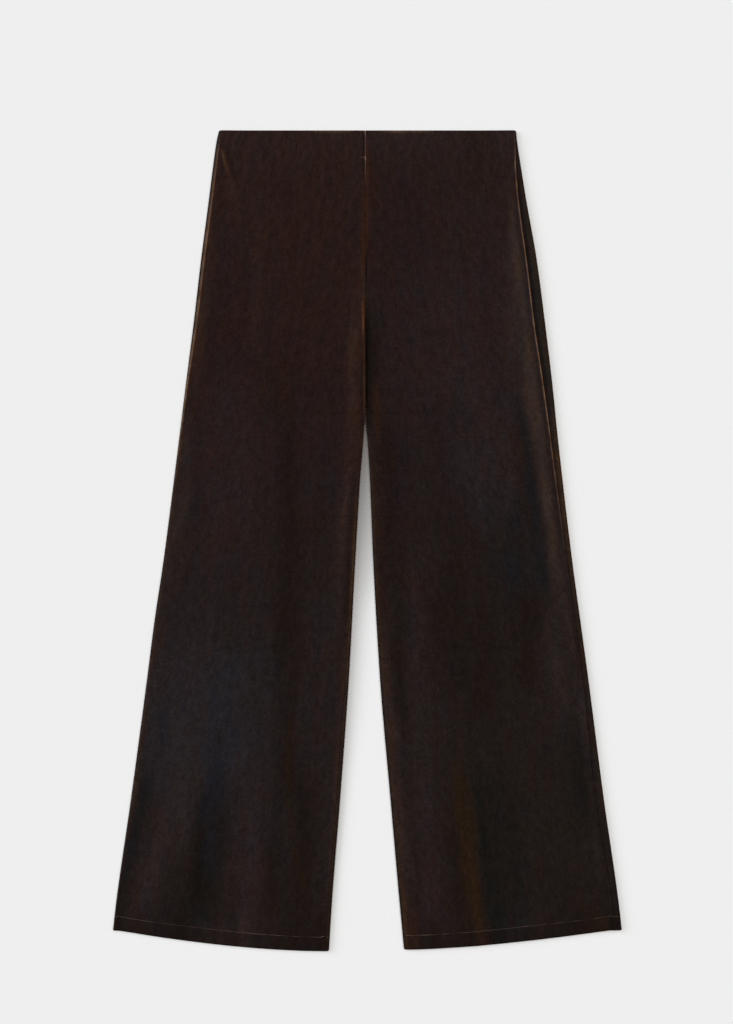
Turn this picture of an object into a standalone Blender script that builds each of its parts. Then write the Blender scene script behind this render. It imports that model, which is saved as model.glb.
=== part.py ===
# Palazzo pants of stretch velvet, laid flat with the front up.
#
# Four panels, as a maker cuts them: a front and a back for each leg. Each panel is a wall of cloth whose waist
# casing and hem are turned inside. The back panels lie on the surface and roll up along the outer and inner folds
# of the legs, and the front panels lie on them.
#
# Metres. +X points to the wearer's left, +Y to the waist, +Z up. The origin is under the middle of the garment.
# "Down" is a distance below the waist fold, and "outward" a distance from the centre line towards a leg's side.

import math
from collections import namedtuple

import bmesh
import bpy

LENGTH = 1.050  # waist fold to the lowest point of the hem
CLOTH = 0.0012  # wall of the velvet, pile included
SEAM_GAP = 0.0003  # between two panels at a seam
TURN_GAP = 0.0006  # air inside a turned edge
TURN = CLOTH + TURN_GAP / 2  # radius of a turned edge, over the pile
CASING = 0.033  # depth of the waist casing
HEM_TURN = 0.019  # depth of the turned-up hem
ROLL = 0.004  # radius of the soft roll along the folds of the legs
CROTCH = 0.310  # down to the point where the four panels meet
UNROLL = 0.060  # length over which the seat seam leaves the fold and reaches the surface below

# The silhouette on both sides, and how far inside it each side seam lies on the front.
Side = namedtuple("Side", "down right_edge left_edge right_seam left_seam")
SIDES = (
    Side(0.000, -0.1897, 0.1905, 0.0025, 0.0015),
    Side(0.013, -0.1927, 0.1919, 0.0033, 0.0022),
    Side(0.050, -0.1979, 0.1974, 0.0036, 0.0078),
    Side(0.089, -0.2028, 0.2037, 0.0036, 0.0102),
    Side(0.166, -0.2128, 0.2172, 0.0036, 0.0135),
    Side(0.243, -0.2218, 0.2273, 0.0034, 0.0141),
    Side(0.320, -0.2316, 0.2366, 0.0018, 0.0128),
    Side(0.396, -0.2410, 0.2444, 0.0010, 0.0098),
    Side(0.550, -0.2608, 0.2624, 0.0006, 0.0073),
    Side(0.704, -0.2822, 0.2834, 0.0006, 0.0074),
    Side(0.857, -0.3027, 0.3032, 0.0008, 0.0108),
    Side(0.985, -0.3211, 0.3224, 0.0010, 0.0083),
    Side(1.024, -0.3256, 0.3256, 0.0010, 0.0070),
)

# The centre seam, which parts into the inner folds of the legs, and how far inside them the inseams lie.
Inner = namedtuple("Inner", "down right_edge left_edge right_seam left_seam")
INNERS = (
    Inner(0.000, -0.0022, -0.0022, 0.0000, 0.0000),
    Inner(0.168, -0.0022, -0.0022, 0.0000, 0.0000),
    Inner(0.215, -0.0012, -0.0012, 0.0000, 0.0000),
    Inner(0.310, 0.0000, 0.0000, 0.0000, 0.0000),
    Inner(0.368, -0.0009, -0.0009, 0.0006, 0.0004),
    Inner(0.396, -0.0056, 0.0008, 0.0012, 0.0008),
    Inner(0.447, -0.0095, 0.0036, 0.0022, 0.0014),
    Inner(0.550, -0.0152, 0.0076, 0.0034, 0.0022),
    Inner(0.704, -0.0236, 0.0165, 0.0046, 0.0028),
    Inner(0.857, -0.0347, 0.0298, 0.0050, 0.0030),
    Inner(0.985, -0.0449, 0.0411, 0.0050, 0.0030),
    Inner(1.050, -0.0490, 0.0472, 0.0050, 0.0030),
)

# The angle at which the front panels dip into the centre seam, in degrees: a ditch, then a deep crevice.
Groove = namedtuple("Groove", "down angle")
GROOVES = (
    Groove(0.000, 30.0),
    Groove(0.168, 30.0),
    Groove(0.202, 46.0),
    Groove(0.232, 76.0),
    Groove(0.310, 90.0),
)

# How high the front lies: across the middle of a panel and along the centre seam or inner fold.
Height = namedtuple("Height", "down middle centre")
HEIGHTS = (
    Height(0.000, 0.0067, 0.0067),
    Height(0.038, 0.0065, 0.0065),
    Height(0.080, 0.0051, 0.0051),
    Height(0.168, 0.0046, 0.0047),
    Height(0.232, 0.0046, 0.0066),
    Height(0.310, 0.0047, 0.0080),
    Height(0.700, 0.0048, 0.0080),
    Height(0.980, 0.0052, 0.0080),
    Height(1.024, 0.0066, 0.0080),
    Height(1.050, 0.0068, 0.0080),
)
SIDE_SOFT = 0.022  # how far in from a side the roll eases into the middle
INNER_SOFT = 0.018  # the same, from the inner fold
LIP = 0.0009  # rise of the front's edge where its side seam lies on top
LIP_WIDTH = 0.0045

# Long soft ridges and troughs of the front. Width is from the middle line to where a fold is a third as high.
Fold = namedtuple("Fold", "leg x_top down_top x_low down_low height width")
FOLDS = (
    Fold("right", -0.186, 0.030, -0.184, 0.240, -0.0009, 0.010),
    Fold("right", -0.228, 0.700, -0.274, 1.080, 0.0011, 0.021),
    Fold("right", -0.284, 0.850, -0.315, 0.990, -0.0012, 0.011),
    Fold("right", -0.193, 0.760, -0.243, 1.010, -0.0013, 0.014),
    Fold("right", -0.126, 0.770, -0.118, 1.010, -0.0011, 0.013),
    Fold("right", -0.102, 0.690, -0.084, 1.100, 0.0014, 0.012),
    Fold("left", 0.194, 0.190, 0.226, 0.580, -0.0013, 0.011),
    Fold("left", 0.147, 0.430, 0.175, 0.570, -0.0012, 0.013),
    Fold("left", 0.118, 0.700, 0.143, 1.120, 0.0016, 0.013),
    Fold("left", 0.163, 0.800, 0.165, 1.040, -0.0013, 0.012),
    Fold("left", 0.275, 0.770, 0.283, 0.890, -0.0010, 0.012),
    Fold("left", 0.076, 0.730, 0.082, 1.060, 0.0009, 0.014),
)
FOLD_TAPER = 0.3  # share of a fold's length over which each end dies out
FOLD_CLEAR = 0.009  # distance from a roll over which the folds fade in

# Each leg: the sign of its side, the lowest point of its hem, and the hem's rise towards the side.
Leg = namedtuple("Leg", "name sign hem_low hem_rise hem_sweep")
LEGS = (
    Leg("right", -1.0, 1.0500, 0.0264, 1.7),
    Leg("left", 1.0, 1.0476, 0.0260, 1.5),
)
HEM_FROM = 0.60  # below this the rows of a panel start to follow the curve of the hem
HEM_TO = 1.00  # below this they are parallel to it

# The net of points of a panel: rows down its length, and columns in two edge strips and across.
Stretch = namedtuple("Stretch", "down step")
STRETCHES = (
    Stretch(CASING, 0.016),
    Stretch(0.170, 0.034),
    Stretch(0.400, 0.023),
    Stretch(LENGTH - HEM_TURN, 0.063),
    Stretch(LENGTH - TURN, HEM_TURN),
)
TURN_STEPS = 4
Net = namedtuple("Net", "strip strip_columns across_columns")
FRONT_NET = Net(0.008, 5, 22)
BACK_NET = Net(0.024, 9, 5)

VELVET_COLOUR = (0.0193, 0.0110, 0.0091, 1.0)
VELVET_ROUGHNESS = 0.85
VELVET_SHEEN = 0.6
VELVET_SHEEN_TINT = (0.55, 0.30, 0.20, 1.0)


def ease(value):
    """0 to 1 with a level start and end."""
    value = min(max(value, 0.0), 1.0)
    return value * value * (3.0 - 2.0 * value)


def bump(distance, width):
    return math.exp(-((distance / width) ** 2))


def read(table, column, down):
    """A column of a table at a distance down, on a smooth curve through the rows that never overshoots them."""
    if down <= table[0].down:
        return getattr(table[0], column)
    if down >= table[-1].down:
        return getattr(table[-1], column)
    after = next(index for index, row in enumerate(table) if row.down > down)
    slopes = []
    for first in (after - 2, after - 1, after):
        first = min(max(first, 0), len(table) - 2)
        rise = getattr(table[first + 1], column) - getattr(table[first], column)
        slopes.append(rise / (table[first + 1].down - table[first].down))
    starts = [0.0 if one * two <= 0.0 else 2.0 * one * two / (one + two) for one, two in zip(slopes, slopes[1:])]
    above, below = table[after - 1], table[after]
    span = below.down - above.down
    part = (down - above.down) / span
    low, high = getattr(above, column), getattr(below, column)
    bend = part * (1.0 - part) * span
    return low + (high - low) * ease(part) + bend * ((1.0 - part) * starts[0] - part * starts[1])


def fold_height(leg, x, down, troughs):
    """The sum of a leg's folds at a place. Troughs are scaled by a share, so that a doubled edge has none."""
    total = 0.0
    for fold in FOLDS:
        if fold.leg != leg.name:
            continue
        run_x, run_down = fold.x_low - fold.x_top, fold.down_low - fold.down_top
        length = math.hypot(run_x, run_down)
        along = ((x - fold.x_top) * run_x + (down - fold.down_top) * run_down) / length**2
        beside = ((x - fold.x_top) * run_down - (down - fold.down_top) * run_x) / length
        taper = ease(along / FOLD_TAPER) * ease((1.0 - along) / FOLD_TAPER)
        height = fold.height if fold.height > 0.0 else fold.height * troughs
        total += height * taper * bump(beside, fold.width)
    return total


class Section:
    """The section of a leg at one distance down: its edges, seams and rolls, all as outward distances."""

    def __init__(self, leg, row, down):
        self.leg, self.row, self.down = leg, row, down
        self.side_seam = read(SIDES, leg.name + "_seam", down)
        self.side_edge = leg.sign * read(SIDES, leg.name + "_edge", down)
        self.inner_seam = read(INNERS, leg.name + "_seam", down)
        self.inner_edge = leg.sign * read(INNERS, leg.name + "_edge", down)
        # How far each edge of the front bends down into its seam: a quarter turn for a seam right on the fold.
        self.side_bend = math.asin(max(0.0, 1.0 - self.side_seam / ROLL))
        self.inner_bend = math.asin(max(0.0, 1.0 - self.inner_seam / ROLL))
        # How far the back rolls up along the inner fold. Above the crotch it unrolls to the seat seam.
        self.inner_wrap = ROLL * (math.pi - self.inner_bend) + max(0.0, self.inner_seam - ROLL)
        if down < CROTCH:
            self.inner_bend = math.radians(read(GROOVES, "angle", down))
            self.inner_wrap = ROLL * math.pi / 2 * ease((down - CROTCH + UNROLL) / UNROLL)
        self.side_wrap = ROLL * (math.pi - self.side_bend) + max(0.0, self.side_seam - ROLL)

    def front_start(self):
        """Where the front leaves its inner bend."""
        if self.down < CROTCH:
            return self.inner_edge + (ROLL + SEAM_GAP / 2) * math.sin(self.inner_bend)
        return self.inner_edge + SEAM_GAP / 2 + max(self.inner_seam, ROLL)

    def front_end(self):
        """Where the front starts its bend at the side."""
        return self.side_edge - max(self.side_seam, ROLL)

    def front_top(self, outward):
        """Height of the front's pile between its two bends."""
        from_side = self.front_end() - outward
        from_inner = outward - self.front_start()
        middle = read(HEIGHTS, "middle", self.row)
        centre = read(HEIGHTS, "centre", self.row)
        top = middle + (2.0 * ROLL - middle) * bump(from_side, SIDE_SOFT)
        top += (centre - middle) * bump(from_inner, INNER_SOFT)
        on_top = ease((self.side_seam - ROLL) / ROLL)
        top += LIP * on_top * bump(from_side - LIP_WIDTH / 2, LIP_WIDTH)
        fade = (1.0 - bump(from_side, FOLD_CLEAR)) * (1.0 - bump(from_inner, FOLD_CLEAR))
        troughs = ease((self.row - CASING) / CASING) * ease((LENGTH - HEM_TURN - self.row) / CASING)
        return top + fade * fold_height(self.leg, self.leg.sign * outward, self.down, troughs)

    def front_edge(self, distance, at_side, inset):
        """A point of the front at a distance from one of its seams, sunk by an inset below the pile."""
        bend = self.side_bend if at_side else self.inner_bend
        start = self.front_end() if at_side else self.front_start()
        away = 1.0 if at_side else -1.0
        left = ROLL * bend - distance
        if left <= 0.0:
            outward = start + away * left
            return outward, self.front_top(outward) - inset
        angle = left / ROLL
        middle = self.front_top(start) - ROLL
        return start + away * (ROLL - inset) * math.sin(angle), middle + (ROLL - inset) * math.cos(angle)

    def back_edge(self, distance, at_side, inset):
        """A point of the back at a distance from one of its seams, sunk by an inset behind the pile."""
        wrap = self.side_wrap if at_side else self.inner_wrap
        away = 1.0 if at_side else -1.0
        turned = math.sin(min(wrap / ROLL, math.pi / 2))
        if at_side:
            start = self.side_edge - ROLL * turned
        else:
            start = self.inner_edge + (ROLL + SEAM_GAP / 2) * turned
        left = wrap - distance
        if left <= 0.0:
            return start + away * left, inset
        if left >= ROLL * math.pi:
            return start - away * (left - ROLL * math.pi), 2.0 * ROLL - inset
        angle = left / ROLL
        return start + away * (ROLL - inset) * math.sin(angle), ROLL - (ROLL - inset) * math.cos(angle)


def panel_point(leg, front, column, row, inset):
    """A point of a panel. Columns run from -1 to 0 in the side strip, 0 to 1 across, 1 to 2 in the inner strip."""
    net = FRONT_NET if front else BACK_NET
    across = min(max(column, 0.0), 1.0)
    hem = leg.hem_low - leg.hem_rise * (1.0 - across) ** leg.hem_sweep
    down = row - (LENGTH - hem) * ease((row - HEM_FROM) / (HEM_TO - HEM_FROM))
    section = Section(leg, row, down)
    edge = section.front_edge if front else section.back_edge
    if column <= 0.0:
        outward, z = edge(SEAM_GAP / 2 + (column + 1.0) * net.strip, True, inset)
    elif column >= 1.0:
        outward, z = edge(SEAM_GAP / 2 + (2.0 - column) * net.strip, False, inset)
    else:
        side, _ = edge(SEAM_GAP / 2 + net.strip, True, 0.0)
        inner, _ = edge(SEAM_GAP / 2 + net.strip, False, 0.0)
        outward = side + (inner - side) * column
        z = section.front_top(outward) - inset if front else inset
    return leg.sign * outward, LENGTH / 2 - down, z


def panel_columns(net):
    strip = [index / net.strip_columns for index in range(net.strip_columns)]
    across = [index / net.across_columns for index in range(net.across_columns + 1)]
    return [place - 1.0 for place in strip] + across + [2.0 - place for place in reversed(strip)]


def panel_rows(depth):
    """Rows of a panel at a depth below its pile: casing, waist fold, the length of the leg, hem fold, hem."""
    radius = TURN - depth
    turn = [math.pi * index / TURN_STEPS for index in range(TURN_STEPS + 1)]
    rows = [(CASING, TURN + radius), ((CASING + TURN) / 2, TURN + radius)]
    rows += [(TURN - radius * math.sin(angle), TURN + radius * math.cos(angle)) for angle in turn]
    start = TURN
    for stretch in STRETCHES:
        count = round((stretch.down - start) / stretch.step)
        rows += [(start + (stretch.down - start) * (index + 1) / count, depth) for index in range(count)]
        start = stretch.down
    rows += [(start + radius * math.sin(angle), TURN - radius * math.cos(angle)) for angle in turn[1:]]
    return rows + [(LENGTH - HEM_TURN, TURN + radius)]


def velvet(name):
    material = bpy.data.materials.new(name)
    material.use_nodes = True
    shader = material.node_tree.nodes["Principled BSDF"]
    shader.inputs["Base Color"].default_value = VELVET_COLOUR
    shader.inputs["Roughness"].default_value = VELVET_ROUGHNESS
    shader.inputs["Metallic"].default_value = 0.0
    shader.inputs["Sheen Weight"].default_value = VELVET_SHEEN
    shader.inputs["Sheen Tint"].default_value = VELVET_SHEEN_TINT
    return material


def make_panel(collection, leg, front):
    """A wall of cloth: one net of points over the pile, extruded, and its copy set behind it."""
    columns = panel_columns(FRONT_NET if front else BACK_NET)
    pile_rows, ground_rows = panel_rows(0.0), panel_rows(CLOTH)
    wall = bmesh.new()
    bmesh.ops.create_grid(wall, x_segments=len(columns) - 1, y_segments=len(pile_rows) - 1, size=0.5)
    bmesh.ops.triangulate(wall, faces=wall.faces, quad_method="FIXED")
    pile = list(wall.verts)
    extruded = bmesh.ops.extrude_face_region(wall, geom=wall.faces)["geom"]
    ground = [item for item in extruded if isinstance(item, bmesh.types.BMVert)]
    for verts, rows in ((pile, pile_rows), (ground, ground_rows)):
        for vert in verts:
            column = columns[round((vert.co.x + 0.5) * (len(columns) - 1))]
            row, inset = rows[round((vert.co.y + 0.5) * (len(rows) - 1))]
            vert.co = panel_point(leg, front, column, row, inset)
    bmesh.ops.recalc_face_normals(wall, faces=wall.faces)
    if wall.calc_volume(signed=True) < 0.0:
        bmesh.ops.reverse_faces(wall, faces=wall.faces)
    name = ("front_" if front else "back_") + leg.name
    mesh = bpy.data.meshes.new(name)
    wall.to_mesh(mesh)
    wall.free()
    mesh.materials.append(velvet("velvet_" + name))
    mesh.shade_smooth()
    mesh.set_sharp_from_angle(angle=math.radians(50.0))
    panel = bpy.data.objects.new(name, mesh)
    collection.objects.link(panel)


def main():
    for item in list(bpy.data.objects):
        bpy.data.objects.remove(item, do_unlink=True)
    collection = bpy.data.collections.new("palazzo_pants")
    bpy.context.scene.collection.children.link(collection)
    for leg in LEGS:
        make_panel(collection, leg, front=False)
        make_panel(collection, leg, front=True)


main()
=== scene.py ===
# Palazzo pants of stretch velvet, laid flat with the front up: four velvet panels, the threads of the hems
# and the centre seam, a pale floor, soft light and a camera straight above.
#
# Metres, and mm in tables. x runs to the wearer's left, y to the waist, z up. "Down" is a distance below
# the waist fold, and "outward" one from the centre line to the side of a leg.

import math

import bmesh
import bpy
import numpy as np
from mathutils import Matrix, Vector


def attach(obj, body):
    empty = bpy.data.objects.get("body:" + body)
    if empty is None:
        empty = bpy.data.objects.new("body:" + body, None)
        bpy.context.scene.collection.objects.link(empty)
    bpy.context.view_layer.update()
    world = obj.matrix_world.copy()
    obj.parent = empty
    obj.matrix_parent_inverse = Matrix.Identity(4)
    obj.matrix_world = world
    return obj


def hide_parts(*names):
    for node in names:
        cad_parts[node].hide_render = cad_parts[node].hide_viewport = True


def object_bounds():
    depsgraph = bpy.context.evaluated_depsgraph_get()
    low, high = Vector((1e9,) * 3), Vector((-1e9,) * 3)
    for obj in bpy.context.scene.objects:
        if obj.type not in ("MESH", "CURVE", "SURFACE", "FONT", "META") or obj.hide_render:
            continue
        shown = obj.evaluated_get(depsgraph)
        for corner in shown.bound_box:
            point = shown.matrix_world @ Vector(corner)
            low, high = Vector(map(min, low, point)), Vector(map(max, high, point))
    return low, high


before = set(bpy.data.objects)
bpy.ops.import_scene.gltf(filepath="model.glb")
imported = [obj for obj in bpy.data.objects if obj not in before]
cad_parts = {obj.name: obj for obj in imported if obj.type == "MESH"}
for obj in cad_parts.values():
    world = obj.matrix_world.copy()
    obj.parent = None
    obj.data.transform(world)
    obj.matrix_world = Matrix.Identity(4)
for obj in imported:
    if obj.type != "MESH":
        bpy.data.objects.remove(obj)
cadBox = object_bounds()
length = cadBox[1].y - cadBox[0].y
waistY = cadBox[1].y
mm = 0.001
print("frame loaded, garment", round(length, 4), "m long")


def table(names, *rows, unit=1.0):
    # a table as named columns, with "down" and "width" in mm
    names = names.split()
    units = [mm if name in ("down", "width") else unit for name in names]
    return dict(zip(names, (np.array(rows) * units).T))


cloth = {
    "wall": 0.0012,  # velvet, pile included
    "seamGap": 0.0003,
    "innerGap": 0.000002,  # the legs touch where they meet
    "turnGap": 0.0006,  # air inside a turned edge
    "casing": 0.033,
    "hem": 0.021,
    "roll": 0.004,  # radius of the soft rolls along the folds of the legs
    "crotch": 0.310,  # down to where the four panels meet
    "unroll": 0.060,  # length over which the seat seam drops to the surface below
    "sideSoft": 0.022,  # how far in from a side the roll eases into the middle
    "innerSoft": 0.018,
    "lip": 0.0009,  # rise of the front's edge where its side seam lies on top
    "lipWidth": 0.0045,
    "ditch": 0.0004,  # depth of the line that a seam pulls into the pile
    "ditchWidth": 0.0009,
    "hemFrom": 0.60,  # rows start to follow the curve of the hem
    "hemTo": 1.00,
    "stitchUp": 0.0185,  # the hem's stitches above its fold
    "stitchPull": 0.00035,  # how deep and how wide they pull the cloth in
    "pullWidth": 0.0012,
}
turnRadius = cloth["wall"] + cloth["turnGap"] / 2

sides = table(
    "down rightEdge leftEdge rightSeam leftSeam",
    (0, -189.7, 190.5, 2.5, 1.5),
    (13, -192.7, 191.9, 3.3, 2.2),
    (50, -197.9, 197.4, 3.6, 6.6),
    (89, -202.8, 203.7, 3.6, 9.7),
    (166, -212.8, 217.2, 3.6, 12.9),
    (243, -221.8, 227.3, 3.4, 13.7),
    (320, -231.6, 236.6, 1.8, 11.5),
    (396, -241, 244.4, 1, 9),
    (550, -260.8, 262.4, 0.6, 6.9),
    (627, -272.3, 272.9, 0.6, 7.1),
    (704, -282.2, 283.4, 0.6, 7.4),
    (857, -302.7, 303.2, 0.8, 10.8),
    (985, -321.1, 321.6, 1, 8.3),
    (1024, -325.6, 326.1, 1, 7),
    unit=mm,
)
inners = table(
    "down rightEdge leftEdge rightSeam leftSeam",
    (0, -2.6, -2.6, 0, 0),
    (168, -2.2, -2.2, 0, 0),
    (215, -1.2, -1.2, 0, 0),
    (310, -1.1, -1.1, 0, 0),
    (364, -1.3, -1.3, 0.6, 0.4),
    (376, -3.4, -1.7, 0.8, 0.6),
    (396, -4.9, 0.3, 1.2, 0.8),
    (447, -9.1, 3.4, 2.2, 1.4),
    (550, -15.2, 7.6, 3.4, 2.2),
    (704, -23.6, 16.5, 4.6, 2.8),
    (857, -34.7, 29.8, 5, 3),
    (985, -44.9, 41.1, 5, 3),
    (1050, -49, 47.2, 5, 3),
    unit=mm,
)
# the angle at which the front dips into the centre seam, in degrees
grooves = table("down angle", (0, 30), (168, 30), (202, 46), (232, 76), (310, 90))
# how high the front lies, across the middle of a panel and along the centre seam or inner fold
heights = table(
    "down middle centre",
    (0, 6.7, 6.7),
    (38, 6.5, 6.5),
    (80, 5.1, 5.1),
    (168, 4.6, 4.7),
    (232, 4.6, 6.6),
    (310, 4.7, 8),
    (700, 4.8, 8),
    (980, 5.2, 8),
    (1024, 6.6, 8),
    (1050, 6.8, 8),
    unit=mm,
)
legs = {
    "right": {"sign": -1.0, "hemLow": 1.0504, "hemRise": 0.0262, "hemSweep": 1.7},
    "left": {"sign": 1.0, "hemLow": 1.0484, "hemRise": 0.0246, "hemSweep": 1.5},
}

# long soft folds of the front, in mm: leg, x and down at the top, x and down at the low end, width, height
frontFolds = (
    ("right", -186, 30, -184, 240, 10, -0.9),
    ("right", -191, 18, -175, 78, 3, 0.8),
    ("right", -228, 700, -274, 1080, 21, 1.1),
    ("right", -284, 850, -315, 990, 11, -1.2),
    ("right", -193, 760, -243, 1010, 14, -1.3),
    ("right", -126, 770, -118, 1010, 13, -1.1),
    ("right", -102, 690, -84, 1100, 12, 1.4),
    ("left", 194, 190, 226, 580, 11, -1.3),
    ("left", 147, 430, 175, 570, 13, -1.2),
    ("left", 118, 700, 143, 1120, 13, 1.6),
    ("left", 163, 800, 165, 1040, 12, -1.3),
    ("left", 275, 770, 283, 890, 12, -1),
    ("left", 76, 730, 82, 1060, 14, 0.9),
)
foldTaper = 0.3  # share of a fold's or a stroke's length over which each end dies out
foldClear = 0.009  # distance from a roll over which the folds fade in
# faint unevenness of the lying cloth, with its size across and along a leg
ripple = {"height": 0.00014, "size": (0.006, 0.016)}
waveCount = 6
waveSizes = (0.6, 1.5)  # of the single waves, against the size asked for


def ease(value):
    # 0 to 1 with a level start and end
    value = np.clip(value, 0.0, 1.0)
    return value * value * (3.0 - 2.0 * value)


def bump(distance, width):
    return np.exp(-((distance / width) ** 2))


def waves(x, down, seed, across, along):
    # a smooth seeded unevenness of about -1 to 1
    chance = np.random.default_rng(seed)
    total = np.zeros_like(x)
    for _ in range(waveCount):
        turn, phase = chance.uniform(0.0, 2.0 * math.pi, 2)
        size = chance.uniform(*waveSizes)
        total += np.sin(size * (x / across * math.cos(turn) + down / along * math.sin(turn)) + phase)
    return total / waveCount * 2.0


def read(rows, name, down):
    # a column of a table at each distance down, on a smooth curve that never overshoots the rows
    stops, values = rows["down"], rows[name]
    slopes = np.diff(values) / np.diff(stops)
    pairs = slopes[:-1] * slopes[1:]
    sums = np.where(pairs > 0.0, slopes[:-1] + slopes[1:], 1.0)
    bends = np.concatenate((slopes[:1], np.where(pairs > 0.0, 2.0 * pairs / sums, 0.0), slopes[-1:]))
    down = np.clip(down, stops[0], stops[-1])
    first = np.clip(np.searchsorted(stops, down, side="right") - 1, 0, len(stops) - 2)
    span = stops[first + 1] - stops[first]
    part = (down - stops[first]) / span
    curve = part * (1.0 - part) * span * ((1.0 - part) * bends[first] - part * bends[first + 1])
    return values[first] + (values[first + 1] - values[first]) * ease(part) + curve


def streak(x, down, line):
    # 1 along a line on the cloth, dying out at its ends and on both sides
    xTop, downTop, xLow, downLow, width = [value * mm for value in line]
    runX, runDown = xLow - xTop, downLow - downTop
    size = math.hypot(runX, runDown)
    along = ((x - xTop) * runX + (down - downTop) * runDown) / size**2
    beside = ((x - xTop) * runDown - (down - downTop) * runX) / size
    return ease(along / foldTaper) * ease((1.0 - along) / foldTaper) * bump(beside, width)


def legSection(leg, row, down):
    # edges, seams and rolls of a leg at each distance down, all as distances outward
    sign, roll = legs[leg]["sign"], cloth["roll"]
    cut = {"leg": leg, "row": row, "down": down}
    for name, rows in (("side", sides), ("inner", inners)):
        seam = read(rows, leg + "Seam", down)
        bend = np.arcsin(np.clip(1.0 - seam / roll, 0.0, 1.0))
        cut[name + "Seam"], cut[name + "Bend"] = seam, bend
        cut[name + "Edge"] = sign * read(rows, leg + "Edge", down)
        cut[name + "Wrap"] = roll * (math.pi - bend) + np.maximum(0.0, seam - roll)
    # above the crotch the inner edge is the centre seam
    above = down < cloth["crotch"]
    rising = roll * math.pi / 2 * ease((down - cloth["crotch"] + cloth["unroll"]) / cloth["unroll"])
    cut["innerWrap"] = np.where(above, rising, cut["innerWrap"])
    cut["innerBend"] = np.where(above, np.radians(read(grooves, "angle", down)), cut["innerBend"])
    # where the front leaves its inner bend, and where it starts its bend at the side
    halfGap = cloth["innerGap"] / 2
    dipped = (roll + halfGap) * np.sin(cut["innerBend"])
    folded = halfGap + np.maximum(cut["innerSeam"], roll)
    cut["frontStart"] = cut["innerEdge"] + np.where(above, dipped, folded)
    cut["frontEnd"] = cut["sideEdge"] - np.maximum(cut["sideSeam"], roll)
    return cut


def frontTop(cut, outward):
    # height of the front's pile between its two bends
    roll, row, down = cloth["roll"], cut["row"], cut["down"]
    fromSide = cut["frontEnd"] - outward
    fromInner = outward - cut["frontStart"]
    middle = read(heights, "middle", row)
    top = middle + (2.0 * roll - middle) * bump(fromSide, cloth["sideSoft"])
    top += (read(heights, "centre", row) - middle) * bump(fromInner, cloth["innerSoft"])
    onTop = ease((cut["sideSeam"] - roll) / roll)
    top += cloth["lip"] * onTop * bump(fromSide - cloth["lipWidth"] / 2, cloth["lipWidth"])
    top -= cloth["ditch"] * onTop * bump(fromSide, cloth["ditchWidth"])
    # folds keep clear of the rolls, and a doubled edge has no troughs
    fade = (1.0 - bump(fromSide, foldClear)) * (1.0 - bump(fromInner, foldClear))
    depth = cloth["casing"]
    troughs = ease((row - depth) / depth) * ease((length - cloth["hem"] - row) / depth)
    x = legs[cut["leg"]]["sign"] * outward
    top += fade * ripple["height"] * waves(x, down, 7, *ripple["size"])
    for leg, *line, height in frontFolds:
        if leg == cut["leg"]:
            share = 1.0 if height > 0.0 else troughs
            top += fade * share * height * mm * streak(x, down, line)
    return top - cloth["stitchPull"] * bump(row - (length - cloth["stitchUp"]), cloth["pullWidth"])


def frontEdge(cut, distance, atSide, inset):
    # the front at a distance from one of its seams, sunk by an inset below the pile
    roll = cloth["roll"]
    bend = cut["sideBend"] if atSide else cut["innerBend"]
    start = cut["frontEnd"] if atSide else cut["frontStart"]
    away = 1.0 if atSide else -1.0
    left = roll * bend - distance
    angle = np.clip(left, 0.0, None) / roll
    flat = start + away * np.minimum(left, 0.0)
    outward = np.where(left > 0.0, start + away * (roll - inset) * np.sin(angle), flat)
    bent = frontTop(cut, start) - roll + (roll - inset) * np.cos(angle)
    return outward, np.where(left > 0.0, bent, frontTop(cut, flat) - inset)


def backEdge(cut, distance, atSide, inset):
    # the back at a distance from one of its seams: flat below, round the roll and flat again on top
    roll = cloth["roll"]
    wrap = cut["sideWrap"] if atSide else cut["innerWrap"]
    away = 1.0 if atSide else -1.0
    turned = np.sin(np.minimum(wrap / roll, math.pi / 2))
    start = cut["sideEdge"] - roll * turned
    if not atSide:
        start = cut["innerEdge"] + (roll + cloth["innerGap"] / 2) * turned
    left = wrap - distance
    angle = np.clip(left / roll, 0.0, math.pi)
    over = np.clip(left - roll * math.pi, 0.0, None)
    outward = start + away * ((roll - inset) * np.sin(angle) + np.minimum(left, 0.0) - over)
    z = roll - (roll - inset) * np.cos(angle)
    return outward, z - cloth["ditch"] * (over > 0.0) * bump(distance, cloth["ditchWidth"])


# net of points of a panel: edge strips at its seams, and the columns in them and between them
nets = {
    "front": {"strip": 0.008, "stripColumns": 12, "acrossColumns": 96},
    "back": {"strip": 0.024, "stripColumns": 22, "acrossColumns": 48},
}
columnCrowd = 0.35  # how much closer the columns stand near the strips than in the middle
rowSteps = {"flap": 0.004, "leg": 0.0031, "hem": 0.0011, "turn": 8}


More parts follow.
